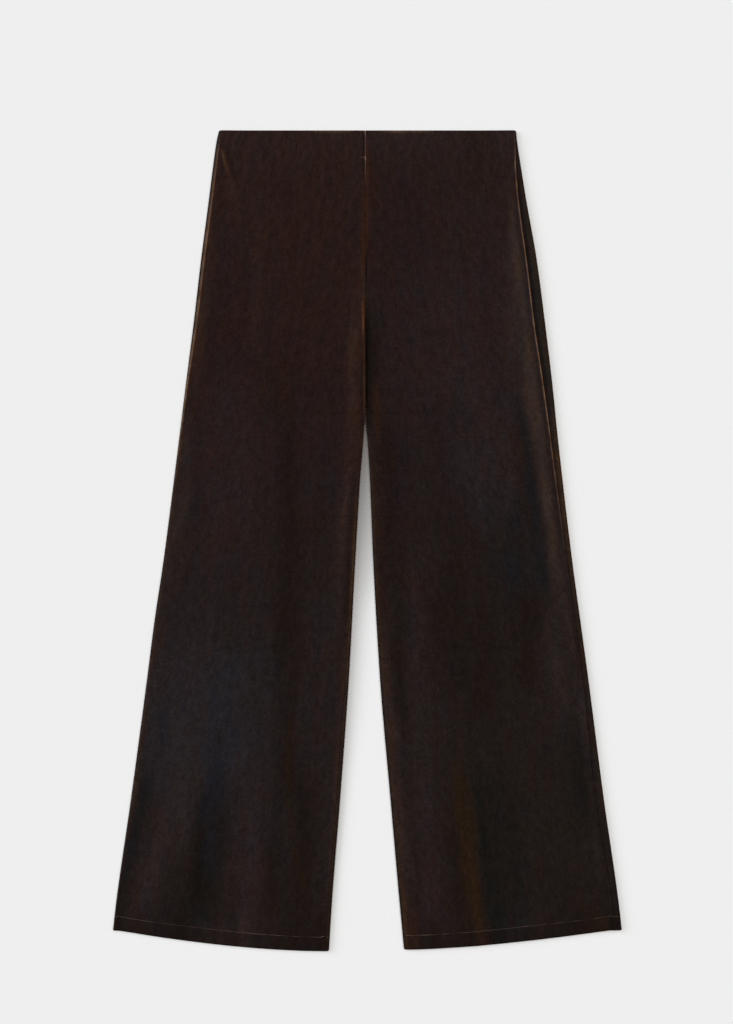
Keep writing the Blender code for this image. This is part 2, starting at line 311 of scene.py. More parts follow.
def panelPoints(leg, side, column, row, inset):
    # columns run -1 to 0 in the side strip, 0 to 1 across the middle, and 1 to 2 in the inner strip
    shape, net = legs[leg], nets[side]
    strip, sideGap, innerGap = net["strip"], cloth["seamGap"] / 2, cloth["innerGap"] / 2
    across = np.clip(column, 0.0, 1.0)
    hemDown = shape["hemLow"] - shape["hemRise"] * (1.0 - across) ** shape["hemSweep"]
    down = row - (length - hemDown) * ease((row - cloth["hemFrom"]) / (cloth["hemTo"] - cloth["hemFrom"]))
    cut = legSection(leg, row, down)
    edge = frontEdge if side == "front" else backEdge
    sideOut, sideZ = edge(cut, sideGap + (np.minimum(column, 0.0) + 1.0) * strip, True, inset)
    innerOut, innerZ = edge(cut, innerGap + (2.0 - np.maximum(column, 1.0)) * strip, False, inset)
    sideRef, _ = edge(cut, sideGap + strip, True, np.zeros_like(column))
    innerRef, _ = edge(cut, innerGap + strip, False, np.zeros_like(column))
    middle = sideRef + (innerRef - sideRef) * across
    middleZ = frontTop(cut, middle) - inset if side == "front" else inset
    strips = [column <= 0.0, column >= 1.0]
    outward = np.select(strips, [sideOut, innerOut], middle)
    z = np.select(strips, [sideZ, innerZ], middleZ)
    wide = np.abs(innerRef - sideRef)
    fromSide = (np.minimum(column, 0.0) + np.maximum(column, 1.0)) * strip + across * wide
    return {
        "points": np.stack((shape["sign"] * outward, waistY - down, z), axis=-1),
        "down": down,
        "fromSide": fromSide,
        "inSide": cut["sideEdge"] - outward,  # how far inside the outline, seen from above
        "inInner": outward - cut["innerEdge"],
        "sideSeam": cut["sideSeam"],
        "row": row,
    }


def netColumns(net):
    strip = np.arange(net["stripColumns"]) / net["stripColumns"]
    share = np.linspace(0.0, 1.0, net["acrossColumns"] + 1)
    across = share - columnCrowd * np.sin(2.0 * math.pi * share) / (2.0 * math.pi)
    return np.concatenate((strip - 1.0, across, 2.0 - strip[::-1]))


def even(start, end, size):
    return np.linspace(start, end, round(abs(end - start) / size) + 1)


def netRows(depth):
    # rows at a depth below the pile, with that depth: casing, waist fold, leg, hem fold, hem
    radius = turnRadius - depth
    turn = np.linspace(0.0, math.pi, rowSteps["turn"] + 1)
    inside = turnRadius + radius
    hemTop, hemLow = length - cloth["hem"], length - turnRadius
    casing = [(down, inside) for down in even(cloth["casing"], turnRadius, rowSteps["flap"])[:-1]]
    waist = [(turnRadius - radius * math.sin(a), turnRadius + radius * math.cos(a)) for a in turn]
    body = [(down, depth) for down in even(turnRadius, hemTop, rowSteps["leg"])[1:]]
    body += [(down, depth) for down in even(hemTop, hemLow, rowSteps["hem"])[1:]]
    fold = [(hemLow + radius * math.sin(a), turnRadius - radius * math.cos(a)) for a in turn[1:]]
    flap = [(down, inside) for down in even(hemLow, hemTop, rowSteps["flap"])[1:]]
    return np.array(casing + waist + body + fold + flap)


# what a white surface returns of the studio's light, and what the pile's sheen adds
studioLight = 1.079
pileGloss = (0.0022, 0.0019, 0.0018)


def seen(screen):
    # the base colour of pile that looks like this on screen, 0 to 255
    linear = ((np.array(screen) / 255.0 + 0.055) / 1.055) ** 2.4
    return np.maximum(linear / studioLight - np.array(pileGloss), 0.0004)


# the pile's tones as they look on screen, then as base colours
# some of these paint light: dark tones paint shade in crevices, troughs and seam ditches, and copper and
# pale ones paint highlights along seams, folds and edges
tones = {
    "hip": (42, 29.7, 27), "brown": (39, 27.2, 25), "umber": (37, 25.3, 23.6), "dusk": (36, 27.2, 26.4),
    "fog": (35, 28.7, 28), "moss": (32.4, 26, 23.6), "loam": (31, 24, 21.5), "rust": (39.5, 26, 22),
    "olive": (35.5, 24.5, 19), "plum": (34, 24, 24.5), "mauve": (39.6, 29.6, 29.3),
    "pearlAndSheen": (42.5, 33.5, 32), "slate": (37, 32.5, 34.5), "steel": (35.5, 34, 38), "ink": (27.5, 25, 26),
    "lilac": (40, 31.5, 32), "storm": (28.5, 26.5, 29.5), "teal": (24, 22, 20), "darkToneAndShade": (23.5, 19, 16),
    "shade": (30, 22, 19.5), "bronze": (36.5, 25.5, 16.5), "brass": (49, 33, 19),
    "ember": (43, 27.5, 22.5), "dawnHighlight": (51, 40, 35), "nightShade": (21, 18.5, 20), "rimHighlight": (80, 56, 31),
    "sage": (35, 30.5, 26.5), "rosewood": (49, 30, 23.5), "wine": (41, 31, 29.5),
    "berry": (38.2, 28, 26.3), "honeyHighlight": (64, 44, 30), "amberHighlight": (90, 56, 36), "glowHighlight": (47, 33, 28),
    "blackShadow": (13, 10, 9), "copperHighlight": (114, 86, 66),
}
tones = {name: seen(screen) for name, screen in tones.items()}
# the pile's own tone down each leg
legTones = {
    "right": ((0, "hip"), (120, "brown"), (300, "umber"), (480, "dusk"), (700, "fog"), (1030, "loam")),
    "left": ((0, "wine"), (50, "berry"), (380, "dusk"), (620, "moss"), (920, "moss"), (1030, "loam")),
}
# where the pile is brushed another way, and painted shade and highlights: leg; x and down at the top, x and
# down at the low end, and width, in mm; tone; and share in per cent
frontStrokes = (
    ("R", -92.5, -1, -70.7, 332, 53.8, "rust", 55),
    ("R", -142.4, 57, -139.8, 313, 11.5, "hip", 60),
    ("R", -182.1, 12, -191.1, 275, 7.7, "dusk", 75),
    ("R", -153.9, 134, -173.1, 371, 10.2, "umber", 50),
    ("R", -115.5, 281, -115.5, 377, 17.9, "olive", 70),
    ("R", -173.1, 243, -193.6, 601, 30.7, "mauve", 80),
    ("R", -148.8, 294, -159, 524, 12.8, "mauve", 50),
    ("R", -97.6, 319, -109.1, 601, 12.8, "shade", 85),
    ("R", -106.5, 531, -115.5, 819, 9, "shade", 60),
    ("R", -91.2, 473, -101.4, 716, 16.6, "shade", 85),
    ("R", -91.2, 627, -104, 896, 12.8, "shade", 100),
    ("R", -78.4, 819, -83.5, 1024, 14.1, "shade", 80),
    ("R", -59.2, 601, -70.7, 844, 11.5, "dusk", 80),
    ("R", -7.9, 140, -11.8, 499, 11.5, "ember", 85),
    ("R", -18.2, 396, -28.4, 729, 10.2, "brown", 70),
    ("R", -36.1, 729, -51.5, 1036, 10.2, "fog", 85),
    ("R", -239.7, 633, -255.1, 889, 43.5, "slate", 85),
    ("R", -180.8, 633, -160.3, 857, 38.4, "slate", 85),
    ("R", -211.5, 665, -226.9, 883, 12.8, "pearlAndSheen", 50),
    ("R", -193.6, 755, -205.1, 934, 12.8, "storm", 95),
    ("R", -203.9, 844, -219.2, 1043, 17.9, "darkToneAndShade", 98),
    ("R", -234.6, 793, -303.7, 1062, 17.9, "lilac", 98),
    ("R", -226.9, 787, -242.3, 960, 12.8, "pearlAndSheen", 55),
    ("R", -246.1, 940, -256.4, 1043, 15.4, "moss", 90),
    ("R", -138.6, 780, -155.2, 1049, 16.6, "mauve", 95),
    ("R", -270.4, 774, -317.8, 992, 7.7, "ink", 95),
    ("R", -119.3, 896, -125.7, 1017, 11.5, "shade", 80),
    ("R", -170.6, 832, -183.4, 1017, 10.2, "dusk", 50),
    ("R", -101.4, 716, -94.4, 947, 4.5, "bronze", 60),
    ("R", -95, 908, -77.1, 985, 4.5, "bronze", 50),
    ("R", -193.6, 25, -226.9, 383, 10.2, "glowHighlight", 95),
    ("R", -223.1, 332, -258.9, 627, 11.5, "pearlAndSheen", 95),
    ("R", -256.4, 575, -285.8, 857, 9, "pearlAndSheen", 70),
    ("R", -186.6, 20, -178.2, 56, 1.9, "honeyHighlight", 95),
    ("R", -179.5, 40, -173.1, 76, 2.4, "honeyHighlight", 45),
    ("R", -175.7, 56, -169.3, 99, 3.1, "honeyHighlight", 22),
    ("R", -182.1, 17, -166.7, 79, 3.1, "shade", 70),
    ("R", -4.9, -16, -4.9, 76, 1.4, "shade", 70),
    ("R", -6, 207, -4.5, 268, 1.5, "amberHighlight", 80),
    ("R", -3.7, 227, -3.2, 409, 1, "honeyHighlight", 100),
    # painted shadow in the crevice of the centre seam
    ("R", -1.4, 185, -1.3, 412, 2, "blackShadow", 100),
    ("R", -78.4, 1, -11.8, 1, 1.3, "copperHighlight", 20),
    ("R", -324.9, 992, -324.9, 1034, 3.8, "honeyHighlight", 60),
    ("R", -55.3, 1017, -46.4, 1068, 5.1, "bronze", 60),
    ("L", 6.1, -7, 4.9, 217, 10.2, "rust", 90),
    ("L", 29.2, 25, 27.9, 255, 17.9, "umber", 70),
    ("L", 57.4, 44, 56.1, 204, 20.5, "plum", 60),
    ("L", 140.6, -33, 147, 108, 23, "olive", 50),
    ("L", 108.6, 153, 121.4, 383, 41, "mauve", 85),
    ("L", 8.7, 217, 10, 396, 9, "shade", 90),
    ("L", 2.3, 198, 2.3, 415, 3.8, "darkToneAndShade", 75),
    # painted shadow in the crevice of the centre seam
    ("L", -1.2, 204, -0.8, 409, 2.6, "blackShadow", 100),
    ("L", 10.6, 307, 13.2, 415, 5.1, "ember", 95),
    ("L", 8.7, 371, 13.8, 499, 5.1, "shade", 45),
    ("L", 186.7, 108, 202.1, 409, 19.2, "pearlAndSheen", 95),
    ("L", 91.9, 307, 98.3, 537, 11.5, "plum", 70),
    ("L", 35.6, 307, 44.6, 639, 11.5, "plum", 80),
    ("L", 131.6, 377, 149.6, 550, 20.5, "slate", 55),
    ("L", 184.1, 345, 186.7, 524, 17.9, "pearlAndSheen", 70),
    ("L", 173.9, 447, 195.7, 627, 21.8, "ink", 82),
    ("L", 188, 294, 234.1, 637, 7.7, "ink", 85),
    ("L", 112.4, 435, 117.5, 780, 25.6, "shade", 70),
    ("L", 149.6, 563, 149.6, 780, 15.4, "shade", 85),
    ("L", 205.9, 563, 209.7, 742, 17.9, "shade", 85),
    ("L", 235.4, 563, 250.7, 806, 14.1, "pearlAndSheen", 70),
    ("L", 217.4, 710, 222.6, 800, 12.8, "dusk", 70),
    ("L", 59.9, 627, 85.5, 1126, 16.6, "mauve", 85),
    ("L", 7.4, 396, 27.9, 729, 9, "rust", 60),
    ("L", 16.4, 588, 56.1, 1056, 9, "pearlAndSheen", 95),
    ("L", 38.2, 550, 48.4, 819, 7.7, "shade", 70),
    ("L", 44.6, 511, 53.5, 704, 9, "moss", 70),
    ("L", 113.7, 761, 131.6, 1094, 9, "bronze", 95),
    ("L", 131.6, 809, 145.7, 1094, 6.4, "bronze", 90),
    ("L", 140.6, 787, 166.2, 1068, 9, "teal", 85),
    ("L", 162.4, 806, 175.2, 1068, 9, "teal", 70),
    ("L", 177.7, 806, 195.7, 1062, 11.5, "teal", 55),
    ("L", 109.9, 857, 118.8, 1049, 11.5, "shade", 70),
    ("L", 272.5, 729, 282.7, 908, 15.4, "teal", 90),
    ("L", 300.7, 908, 307.1, 1017, 10.2, "fog", 30),
    ("L", 272.5, 992, 313.5, 1036, 10.2, "bronze", 50),
    ("L", 221.3, 979, 218.7, 1049, 15.4, "dusk", 60),
    ("L", 139.3, 992, 152.1, 1059, 3.3, "brass", 45),
    ("L", 135.5, 972, 149.6, 1056, 3.3, "brass", 30),
    ("L", 44.6, 960, 48.4, 1049, 3.3, "honeyHighlight", 45),
    ("L", 58.6, 1019, 61.2, 1049, 3.8, "honeyHighlight", 35),
    ("L", 8.7, 1, 88.1, 1, 1.3, "copperHighlight", 28),
    ("R", -207.7, 665, -185.9, 857, 28.2, "steel", 60),
    ("R", -193.6, 796, -200, 966, 11.5, "storm", 80),
    ("R", -157.8, 806, -160.3, 972, 12.8, "mauve", 60),
    ("R", -155.2, 902, -147.5, 1062, 17.9, "mauve", 60),
    ("L", 177.7, 25, 217.4, 435, 5.9, "dawnHighlight", 95),
    ("L", 190.5, 191, 254.6, 652, 7.7, "dawnHighlight", 95),
    ("L", 203.3, 243, 225.1, 422, 5.1, "dawnHighlight", 60),
    ("L", 243, 473, 304.5, 985, 7.7, "pearlAndSheen", 90),
    ("L", 77.9, 435, 95.8, 896, 15.4, "mauve", 25),
    ("L", 57.4, 524, 72.7, 780, 11.5, "mauve", 80),
    ("L", 89.4, 550, 94.5, 729, 9, "shade", 50),
    ("L", 88.1, 908, 97.1, 1062, 11.5, "mauve", 70),
    ("L", 126.5, 435, 131.6, 652, 11.5, "dusk", 50),
    ("R", -1.5, 44, -8.6, 230, 5.4, "rosewood", 95),
    ("R", -5.6, 168, -4.6, 230, 3.3, "glowHighlight", 75),
    ("R", -3.3, 198, -3.1, 255, 1.5, "honeyHighlight", 50),
    ("L", 0, -58, 0, 168, 2.3, "rosewood", 100),
    ("R", -19.5, 332, -40, 627, 5.8, "glowHighlight", 75),
    ("R", -11.8, 396, -32.3, 716, 4.4, "shade", 90),
    ("L", 280.2, 774, 290.4, 915, 11.5, "teal", 60),
    ("L", 122.7, 857, 143.2, 1057, 3.1, "brass", 28),
    ("L", 117.5, 851, 134.2, 1049, 2.4, "brass", 20),
    ("L", 131.6, 885, 145.7, 1030, 2.3, "brass", 25),
    ("L", 136.8, 921, 152.1, 1065, 2.3, "brass", 22),
    ("L", 266.1, 970, 282.7, 1024, 3.8, "brass", 25),
    ("L", 298.1, 1003, 313.5, 1030, 5.1, "brass", 35),
    ("R", -15.6, 198, -20.7, 396, 6.4, "glowHighlight", 90),
    ("R", -45.1, 12, -37.4, 166, 12.8, "rust", 50),
    ("R", -116.8, 25, -111.7, 127, 11.5, "plum", 45),
    ("L", 80.4, 12, 88.1, 153, 11.5, "rust", 45),
    ("L", 170.1, 25, 177.7, 166, 10.2, "brown", 50),
    ("R", -228.2, 281, -311.4, 960, 4.1, "pearlAndSheen", 60),
    ("L", 15.1, 575, 53.5, 1081, 5.8, "glowHighlight", 75),
    ("R", -24.6, 601, -55.3, 1062, 4.1, "glowHighlight", 65),
    ("R", -63, 947, -56.6, 1062, 6.4, "darkToneAndShade", 40),
    ("R", -311.4, 921, -328.1, 1049, 3.8, "darkToneAndShade", 60),
    ("L", 252, 550, 278.9, 729, 3.8, "darkToneAndShade", 60),
    ("L", 285.3, 806, 314.7, 1036, 3.8, "shade", 60),
    ("R", -319.1, 972, -325.5, 1100, 10.2, "darkToneAndShade", 60),
    ("R", -290.9, 972, -298.6, 1113, 10.2, "shade", 55),
    ("R", -265.3, 979, -269.2, 1113, 10.2, "ink", 50),
    ("R", -238.4, 972, -242.3, 1113, 11.5, "darkToneAndShade", 55),
    ("R", -214.1, 972, -215.4, 1113, 10.2, "ink", 55),
    ("R", -185.9, 985, -185.9, 1113, 10.2, "mauve", 90),
    ("R", -159, 979, -159, 1113, 11.5, "pearlAndSheen", 90),
    ("R", -134.7, 979, -133.4, 1113, 10.2, "dusk", 70),
    ("R", -86, 972, -82.2, 1113, 11.5, "shade", 80),
    ("R", -60.4, 972, -55.3, 1113, 10.2, "shade", 70),
    ("L", 57.4, 972, 58.6, 1126, 9, "ember", 60),
    ("L", 130.4, 979, 134.2, 1126, 10.2, "shade", 60),
    ("L", 145.7, 1011, 152.1, 1100, 5.1, "ember", 80),
    ("L", 170.1, 972, 172.6, 1126, 10.2, "teal", 90),
    ("L", 195.7, 972, 199.5, 1126, 11.5, "ink", 50),
    ("L", 272.5, 972, 276.3, 1113, 10.2, "shade", 60),
    ("L", 313.5, 979, 319.9, 1094, 7.7, "darkToneAndShade", 70),
    ("L", 25.4, 345, 30.5, 569, 7.7, "shade", 75),
    ("L", 80.4, 992, 83, 1126, 11.5, "shade", 80),
    ("L", 180.3, 31, 243, 492, 2.2, "fog", 55),
    ("L", 221.9, 287, 241.1, 435, 2.6, "honeyHighlight", 55),
    ("R", -175.7, 53, -168, 95, 3.6, "glowHighlight", 60),
    ("R", -186.6, 38, -189.1, 168, 1.9, "shade", 55),
    ("R", -226.9, 569, -232, 844, 23, "lilac", 60),
    ("R", -150.1, 774, -155.2, 966, 17.9, "lilac", 60),
    ("R", -110.4, 812, -112.9, 960, 9, "ink", 45),
    ("R", -83.5, 652, -86, 844, 10.2, "fog", 50),
    ("L", 126.5, 275, 149.6, 499, 21.8, "lilac", 50),
    ("L", 185.4, 345, 198.2, 511, 7.7, "shade", 50),
    ("R", -6.9, 275, -6.4, 409, 1.7, "shade", 70),
    ("R", -237.1, 716, -242.3, 934, 11.5, "slate", 60),
    ("R", -192.3, 857, -196.2, 985, 9, "ink", 50),
    ("R", -267.9, 716, -275.6, 857, 10.2, "steel", 45),
    ("R", -288.4, 908, -298.6, 1036, 10.2, "pearlAndSheen", 35),
    ("R", -105.3, 25, -107.8, 166, 17.9, "ember", 35),
    ("R", -189.8, 50, -196.2, 204, 7.7, "hip", 60),
    # narrow painted shadow along the centre seam, where the pile also loses its sheen
    ("R", -1.2, 140, -1.3, 281, 0.6, "blackShadow", 90),
    ("L", -1.2, 140, -1.2, 281, 0.6, "blackShadow", 90),
    ("R", -216.7, 601, -237.1, 908, 25.6, "slate", 35),
    ("R", -110.4, 588, -110.4, 800, 10.2, "darkToneAndShade", 28),
    ("R", -265.3, 704, -267.9, 832, 10.2, "storm", 25),
    ("R", -162.9, 832, -160.3, 934, 10.2, "storm", 25),
    ("R", -87.3, 812, -86, 915, 9, "darkToneAndShade", 35),
    ("R", -265.3, 832, -278.1, 998, 12.8, "pearlAndSheen", 40),
    ("R", -60.4, 422, -60.4, 627, 11.5, "loam", 45),
    ("R", -175.7, 38, -180.8, 140, 17.9, "rosewood", 25),
    ("R", -11.8, 76, -11.8, 143, 7.7, "loam", 28),
    ("L", 193.1, 223, 200.8, 377, 6.4, "fog", 38),
    ("L", 222.6, 492, 227.7, 607, 7.7, "ink", 45),
    ("L", 167.5, 454, 172.6, 543, 10.2, "pearlAndSheen", 28),
    ("L", 168.8, 774, 170.1, 864, 10.2, "darkToneAndShade", 30),
    ("L", 246.9, 723, 249.4, 793, 10.2, "ink", 35),
    ("L", 16.4, 383, 16.4, 524, 9, "olive", 32),
    ("L", 42, 768, 43.3, 851, 9, "storm", 25),
    ("L", 180.3, 992, 186.7, 1068, 15.4, "fog", 35),
    ("R", -238.4, 697, -241, 889, 11.5, "steel", 38),
    ("R", -202.6, 582, -206.4, 688, 17.9, "lilac", 45),
    ("R", -201.3, 1004, -203.9, 1068, 20.5, "pearlAndSheen", 28),
    ("R", -239.7, 729, -237.1, 937, 11.5, "dawnHighlight", 22),
    ("R", -188.5, 748, -187.2, 847, 9, "storm", 35),
    ("R", -185.9, 857, -188.5, 944, 9, "darkToneAndShade", 25),
    ("R", -214.1, 240, -210.3, 289, 10.2, "hip", 35),
    ("R", -9.2, 396, -13.1, 437, 9, "umber", 30),
    ("R", -86, 470, -86, 517, 11.5, "rust", 30),
    ("R", -60.4, 967, -60.4, 1008, 11.5, "fog", 45),
    ("R", -265.3, 855, -265.3, 1006, 11.5, "pearlAndSheen", 22),
    ("R", -293.5, 970, -296.1, 1008, 7.7, "rust", 40),
    ("R", -137.3, 855, -137.3, 898, 11.5, "storm", 28),
    ("L", 67.6, 698, 71.5, 857, 11.5, "sage", 40),
    ("R", -34.8, 659, -37.4, 774, 10.2, "umber", 30),
    ("L", 144.4, 50, 144.4, 89, 11.5, "glowHighlight", 22),
    ("R", -86, 12, -86, 50, 11.5, "glowHighlight", 25),
)
backStrokes = (
    ("R", -86, 25, -66.8, 294, 56.3, "rust", 60),
    ("R", -150.1, 89, -169.3, 383, 15.4, "dusk", 60),
    ("R", -178.2, 255, -194.9, 601, 28.2, "mauve", 70),
    ("R", -98.9, 345, -121.9, 704, 16.6, "shade", 80),
    ("R", -233.3, 601, -244.8, 883, 38.4, "slate", 80),
    ("R", -169.3, 652, -156.5, 857, 28.2, "fog", 80),
    ("R", -194.9, 806, -219.2, 1043, 15.4, "darkToneAndShade", 80),
    ("R", -258.9, 806, -283.2, 1036, 17.9, "mauve", 80),
    ("R", -134.7, 780, -150.1, 1036, 15.4, "pearlAndSheen", 60),
    ("R", -73.2, 729, -82.2, 1024, 11.5, "bronze", 50),
    ("L", 22.8, 25, 26.6, 255, 15.4, "rust", 60),
    ("L", 106, 140, 121.4, 383, 38.4, "mauve", 70),
    ("L", 170.1, 383, 195.7, 627, 20.5, "ink", 80),
    ("L", 227.7, 550, 249.4, 780, 16.6, "pearlAndSheen", 70),
    ("L", 112.4, 447, 117.5, 780, 23, "shade", 70),
    ("L", 67.6, 627, 85.5, 1036, 14.1, "mauve", 80),
    ("L", 131.6, 729, 154.7, 1049, 12.8, "bronze", 70),
    ("L", 195.7, 806, 208.5, 1049, 15.4, "teal", 80),
    ("L", 293, 729, 313.5, 1024, 9, "ink", 25),
    ("L", 198.2, -1, 241.8, 499, 12.8, "sage", 80),
    ("L", 190.5, -14, 205.9, 108, 7.7, "ink", 50),
    # painted shadow in the crevice between the legs
    ("R", -1.5, 255, -1.5, 415, 2.8, "blackShadow", 100),
    ("L", -0.9, 255, -0.9, 415, 2.8, "blackShadow", 100),
)
# how far a stroke strays, against its width, how patchy it is, and both sizes across and along a leg
brushing = {"wander": 0.35, "wanderSize": (0.012, 0.028), "patchy": 0.18, "patchSize": (0.004, 0.012)}
# painted highlights: how strongly the turned pile shines along the side seams, and along the outline
seamShines = table(
    "down right left",
    (0, 0.05, 0.05),
    (10, 0.12, 0.1),
    (20, 0.45, 0.2),
    (40, 0.6, 0.62),
    (90, 0.85, 0.78),
    (140, 0.9, 0.85),
    (190, 0.85, 1),
    (240, 0.95, 0.95),
    (295, 1, 1),
    (345, 0.8, 1),
    (395, 0.4, 0.55),
    (445, 0.2, 0.5),
    (500, 0.1, 0.25),
    (550, 0.05, 0.05),
    (1050, 0.05, 0.02),
)
rimShines = table(
    "down rightSide leftSide rightInner leftInner",
    (0, 0, 0, 0, 0),
    (50, 0, 0.1, 0, 0),
    (345, 0.05, 0.12, 0, 0),
    (395, 0.2, 0.36, 0.05, 0.05),
    (440, 0.18, 0.46, 0.1, 0.1),
    (500, 0.14, 0.42, 0.3, 0.2),
    (550, 0.12, 0.33, 0.42, 0.17),
    (600, 0.12, 0.2, 0.36, 0.16),
    (660, 0.12, 0.14, 0.26, 0.12),
    (750, 0.12, 0.12, 0.18, 0.1),
    (830, 0.14, 0.12, 0.14, 0.1),
    (910, 0.05, 0.01, 0.14, 0.12),
    (990, 0, 0, 0.12, 0.16),
    (1050, 0.06, 0.05, 0.12, 0.3),
)
paintedShine = {
    "fromRight": 0.0004,  # middle of the painted highlight line, in from each leg's side seam
    "fromLeft": 0.0009,
    "width": 0.0008,
    "rim": 0.0028,  # the middle of the painted rim highlight, in from the outline
    "rimWidth": 0.0016,
    "glowHighlight": 0.20,  # a softer painted highlight band inside the rim
    "glowFrom": 0.0052,
    "glowWidth": 0.0030,
    "uneven": 0.32,
    "patchSize": (0.004, 0.0035),
}
# painted shade in the ditch beside the left side seam, out on the back: how dark, and how wide
ditches = table(
    "down share width",
    (0, 0.5, 1.4),
    (50, 0.8, 1.8),
    (180, 0.92, 2),
    (300, 0.9, 2.2),
    (345, 0.75, 1.7),
    (395, 0.45, 1.2),
    (445, 0.25, 1),
    (500, 0.1, 1),
    (545, 0, 1),
    (1050, 0, 1),
)
# how much darker the hem is below its stitches, and along its fold
hemShade = {"band": 0.10, "bandEdge": 0.002, "fold": 0.35, "foldWidth": 0.0012}


# the pile's tone, with painted shade in the side seam's ditch and at the hem, and painted highlights along
# the outline
def toneWithPaintedLight(leg, side, place):
    x, down = place["points"][:, 0], place["down"]
    stops = [stop * mm for stop, _ in legTones[leg]]
    rows = zip(*[tones[name] for _, name in legTones[leg]])
    colour = np.stack([np.interp(down, stops, channel) for channel in rows], axis=-1)
    strokes = frontStrokes if side == "front" else backStrokes
    for number, (initial, *line, tone, share) in enumerate(strokes):
        if initial != leg[0].upper():
            continue
        stray = brushing["wander"] * line[-1] * mm * waves(x, down, 100 + number, *brushing["wanderSize"])
        patchy = 1.0 + brushing["patchy"] * waves(x, down, 300 + number, *brushing["patchSize"])
        weight = share / 100.0 * patchy * streak(x + stray, down, line)
        colour += (tones[tone] - colour) * np.clip(weight, 0.0, 1.0)[:, None]
    # painted shade in the ditch beside the left side seam
    if side == "back":
        onTop = ease(place["sideSeam"] / cloth["roll"] * 2.0 - 1.0)
        width = read(ditches, "width", down)
        shade = onTop * read(ditches, "share", down) * bump(place["fromSide"] - width, width)
        colour += (tones["nightShade"] - colour) * shade[:, None]
    # painted highlights along the outline, on the pile that faces up
    facingUp = place["points"][:, 2] > cloth["roll"]
    patchy = 1.0 + paintedShine["uneven"] * waves(x, down, 13, *paintedShine["patchSize"])
    for name, inside in (("Side", place["inSide"]), ("Inner", place["inInner"])):
        rim = bump(inside - paintedShine["rim"], paintedShine["rimWidth"])
        rim += paintedShine["glowHighlight"] * bump(inside - paintedShine["glowFrom"], paintedShine["glowWidth"])
        share = np.clip(facingUp * patchy * read(rimShines, leg + name, down) * rim, 0.0, 1.0)
        colour += (tones["rimHighlight"] - colour) * share[:, None]
    low = place["row"] - (length - cloth["stitchUp"])
    shade = hemShade["band"] * ease(low / hemShade["bandEdge"])
    shade += hemShade["fold"] * bump(low - cloth["stitchUp"], hemShade["foldWidth"])
    colour *= (1.0 - shade)[:, None]
    return np.concatenate((colour, np.ones((len(x), 1))), axis=1)


# the painted highlight along the side seams
def paintedSeamShine(leg, side, place):
    x, down = place["points"][:, 0], place["down"]
    line = bump(place["fromSide"] - paintedShine["from" + leg.capitalize()], paintedShine["width"])
    if side == "back" and leg == "left":
        line = np.zeros_like(down)
    patchy = 1.0 + paintedShine["uneven"] * waves(x, down, 11, *paintedShine["patchSize"])
    return np.clip(read(seamShines, leg, down) * line * patchy, 0.0, 1.0)


def newMaterial(name):
    material = bpy.data.materials.new(name)
    material.use_nodes = True
    return material, material.node_tree, material.node_tree.nodes["Principled BSDF"]


def setSockets(tree, node, sockets):
    # each socket takes a link from another node, or a value
    for name, value in sockets.items():
        if isinstance(value, bpy.types.NodeSocket):
            tree.links.new(value, node.inputs[name])
        else:
            node.inputs[name].default_value = value


def addNode(tree, kind, sockets, **settings):
    node = tree.nodes.new(kind)
    for name, value in settings.items():
        setattr(node, name, value)
    setSockets(tree, node, sockets)
    return node.outputs


def readAttribute(tree, name):
    return addNode(tree, "ShaderNodeAttribute", {}, attribute_name=name)


def cutNoise(tree, size, stretch, detail, roughness):
    # a noise on the cut's own coordinates, with its grain stretched down the leg
    place = addNode(tree, "ShaderNodeUVMap", {}, uv_map="cut")["UV"]
    scale = (1.0 / size, 1.0 / (size * stretch), 1.0)
    place = addNode(tree, "ShaderNodeMapping", {"Vector": place, "Scale": scale})["Vector"]
    sockets = {"Vector": place, "Scale": 1.0, "Detail": detail, "Roughness": roughness}
    return addNode(tree, "ShaderNodeTexNoise", sockets)["Fac"]


def fibreNoise(tree, scale):
    place = addNode(tree, "ShaderNodeTexCoord", {})["Object"]
    return addNode(tree, "ShaderNodeTexNoise", {"Vector": place, "Scale": scale, "Detail": 2.0})["Fac"]


def ramp(tree, factor, *ends):
    node = tree.nodes.new("ShaderNodeValToRGB")
    for element, (position, colour) in zip(node.color_ramp.elements, ends):
        element.position = position
        element.color = (*colour, 1.0)
    setSockets(tree, node, {"Fac": factor})
    return node.outputs["Color"]


def mix(tree, blend, factor, first, second):
    sockets = {0: factor, 6: first, 7: second}
    return addNode(tree, "ShaderNodeMix", sockets, data_type="RGBA", blend_type=blend)[2]


def relief(tree, height, strength, distance):
    sockets = {"Height": height, "Strength": strength, "Distance": distance}
    return addNode(tree, "ShaderNodeBump", sockets)["Normal"]


